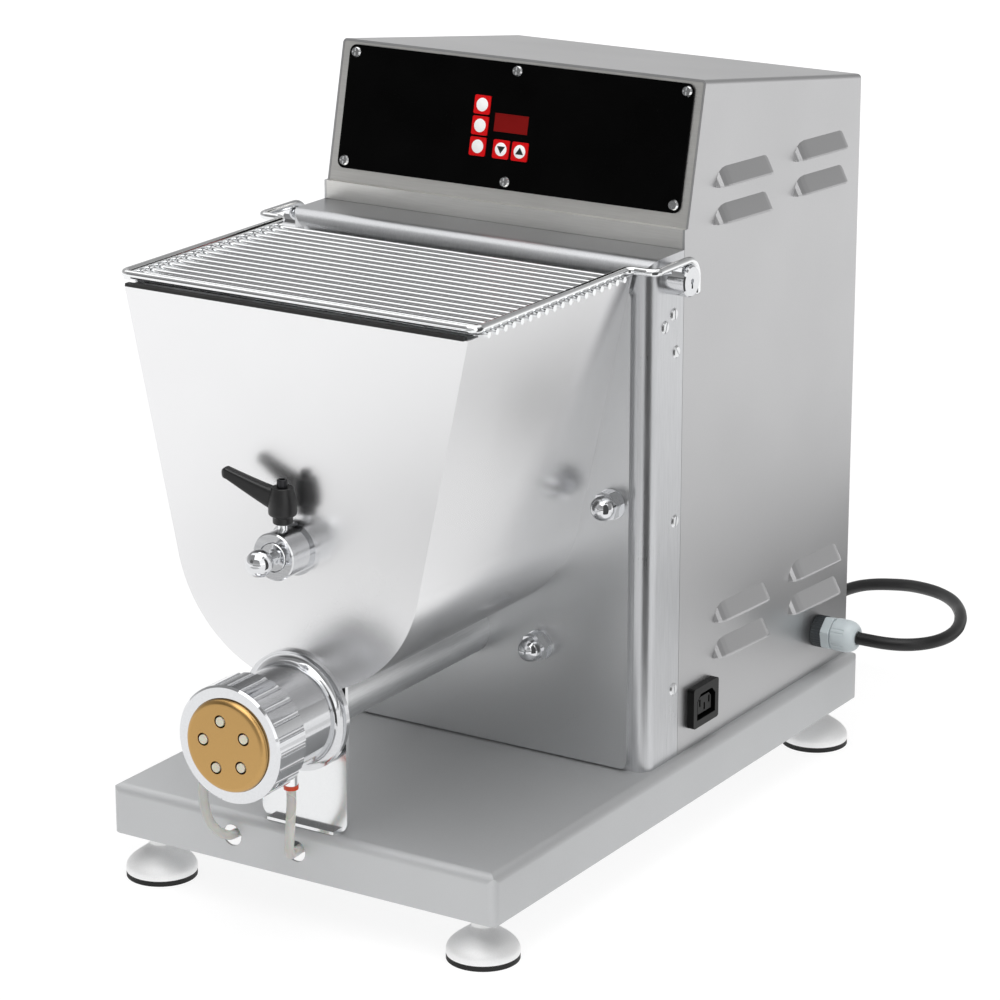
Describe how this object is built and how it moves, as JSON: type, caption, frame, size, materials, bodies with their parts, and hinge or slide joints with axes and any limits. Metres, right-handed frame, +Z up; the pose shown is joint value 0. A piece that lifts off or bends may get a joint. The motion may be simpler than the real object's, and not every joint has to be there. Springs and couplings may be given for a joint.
{
  "type": "electric pasta maker",
  "caption": "Counter-top electric pasta extruder: stainless housing, hopper with mixer and hinged rod guard, extruder screw with bronze die, control panel, levelling feet and mains cord.",
  "frame": {"origin": "on the table, in the middle between the four feet", "axes": "+X to the right seen from the front, +Y to the back, +Z up"},
  "size_m": [0.3759, 0.6971, 0.507],
  "materials": {
    "satin_steel": "satin brushed",
    "polished_steel": "polished",
    "turned_steel": "turned",
    "gear_steel": "machined, oiled",
    "chrome": "bright chrome",
    "cast_aluminium": "as cast",
    "bronze": "turned bronze",
    "motor_paint": "semi-gloss",
    "gloss_overlay": "gloss black",
    "display_red": "dark red window",
    "key_red": "red with white disc",
    "board_green": "solder resist",
    "black_plastic": "fine grain",
    "cream_plastic": "turned",
    "orange_plastic": "moulded",
    "grey_nylon": "moulded nylon",
    "black_rubber": "moulded",
    "cord_rubber": "smooth sheath",
    "silicone_hose": "milky silicone"
  },
  "bodies": {
    "machine": {"base_pan": "satin_steel", "front_frame": "satin_steel", "body_cover": "satin_steel", "rear_panel": "satin_steel", "fascia_panel": "satin_steel", "control_overlay": "gloss_overlay", "display_window": "display_red", "control_board": "board_green", "panel_screws": "turned_steel", "housing_screws": "turned_steel", "back_plate": "polished_steel", "drive_plate": "cast_aluminium", "acorn_nuts": "chrome", "shaft_bushes": "bronze", "hopper": "polished_steel", "rim_seal": "black_rubber", "extruder_tube": "satin_steel", "head_bracket": "polished_steel", "head_barrel": "turned_steel", "hose_fittings": "turned_steel", "hose_collars": "orange_plastic", "hose_left": "silicone_hose", "hose_right": "silicone_hose", "hose_manifold": "grey_nylon", "gear_motor": "motor_paint", "bearing_hub": "turned_steel", "hub_bush": "bronze", "hinge_bosses": "chrome", "appliance_outlet": "black_plastic", "gland_washer": "black_rubber", "cable_gland": "grey_nylon", "power_cord": "cord_rubber", "cord_coil": "cord_rubber", "mains_plug": "cord_rubber"},
    "guard": {"lid_frame": "chrome", "lid_bars": "chrome"},
    "mixer": {"mixer_shaft": "turned_steel", "mixer_gear": "gear_steel"},
    "screw": {"auger": "turned_steel", "auger_gear": "gear_steel"},
    "pinion": {"drive_pinion": "gear_steel"},
    "die_set": {"die": "bronze", "die_inserts": "cream_plastic"},
    "nut": {"ring_nut": "chrome"},
    "pin": {"pull_pin": "chrome"},
    "lever": {"clamp_lever": "black_plastic", "clamp_stud": "turned_steel"},
    "start_key": {"key_start": "key_red"},
    "pause_key": {"key_pause": "key_red"},
    "stop_key": {"key_stop": "key_red"},
    "down_key": {"key_down": "key_red"},
    "up_key": {"key_up": "key_red"},
    "foot_front_left": {"foot_fl": "turned_steel", "pad_fl": "black_rubber"},
    "foot_front_right": {"foot_fr": "turned_steel", "pad_fr": "black_rubber"},
    "foot_rear_left": {"foot_rl": "turned_steel", "pad_rl": "black_rubber"},
    "foot_rear_right": {"foot_rr": "turned_steel", "pad_rr": "black_rubber"}
  },
  "joints": [
    {"name": "guard_hinge", "type": "hinge", "parent": "machine", "child": "guard", "pos_m": [0, -0.022, 0.38902], "axis": [-1, 0, 0], "range_deg": [0, 95]},
    {"name": "mixer_spin", "type": "hinge", "parent": "machine", "child": "mixer", "pos_m": [0, -0.15, 0.248], "axis": [0, -1, 0], "continuous": true},
    {"name": "screw_spin", "type": "hinge", "parent": "machine", "child": "screw", "pos_m": [0, -0.15, 0.143], "axis": [0, -1, 0], "continuous": true},
    {"name": "pinion_spin", "type": "hinge", "parent": "machine", "child": "pinion", "pos_m": [0.062, -0.03, 0.2945], "axis": [0, -1, 0], "continuous": true},
    {"name": "die_slide", "type": "slide", "parent": "machine", "child": "die_set", "axis": [0, -1, 0], "range_m": [0, 0.0076]},
    {"name": "nut_spin", "type": "hinge", "parent": "die_set", "child": "nut", "pos_m": [0, -0.29, 0.143], "axis": [0, -1, 0], "range_deg": [0, 1080]},
    {"name": "pin_pull", "type": "slide", "parent": "machine", "child": "pin", "axis": [0, -1, 0], "range_m": [0, 0.025]},
    {"name": "lever_turn", "type": "hinge", "parent": "machine", "child": "lever", "pos_m": [0, -0.249, 0.2665], "axis": [0, 0, 1], "range_deg": [0, 160]},
    {"name": "start_press", "type": "slide", "parent": "machine", "child": "start_key", "axis": [0, 0.9756, -0.2198], "range_m": [0, 0.0005], "stiffness_N_per_m": 800},
    {"name": "pause_press", "type": "slide", "parent": "machine", "child": "pause_key", "axis": [0, 0.9756, -0.2198], "range_m": [0, 0.0005], "stiffness_N_per_m": 800},
    {"name": "stop_press", "type": "slide", "parent": "machine", "child": "stop_key", "axis": [0, 0.9756, -0.2198], "range_m": [0, 0.0005], "stiffness_N_per_m": 800},
    {"name": "down_press", "type": "slide", "parent": "machine", "child": "down_key", "axis": [0, 0.9756, -0.2198], "range_m": [0, 0.0005], "stiffness_N_per_m": 800},
    {"name": "up_press", "type": "slide", "parent": "machine", "child": "up_key", "axis": [0, 0.9756, -0.2198], "range_m": [0, 0.0005], "stiffness_N_per_m": 800},
    {"name": "foot_fl_screw", "type": "slide", "parent": "machine", "child": "foot_front_left", "axis": [0, 0, -1], "range_m": [0, 0.012]},
    {"name": "foot_fr_screw", "type": "slide", "parent": "machine", "child": "foot_front_right", "axis": [0, 0, -1], "range_m": [0, 0.012]},
    {"name": "foot_rl_screw", "type": "slide", "parent": "machine", "child": "foot_rear_left", "axis": [0, 0, -1], "range_m": [0, 0.012]},
    {"name": "foot_rr_screw", "type": "slide", "parent": "machine", "child": "foot_rear_right", "axis": [0, 0, -1], "range_m": [0, 0.012]}
  ],
  "couplings": [
    {"joint": "screw_spin", "follows": "mixer_spin", "ratio": -1.2105},
    {"joint": "pinion_spin", "follows": "mixer_spin", "ratio": -2.875},
    {"joint": "die_slide", "follows": "nut_spin", "m_per_rad": 0.00039789}
  ]
}
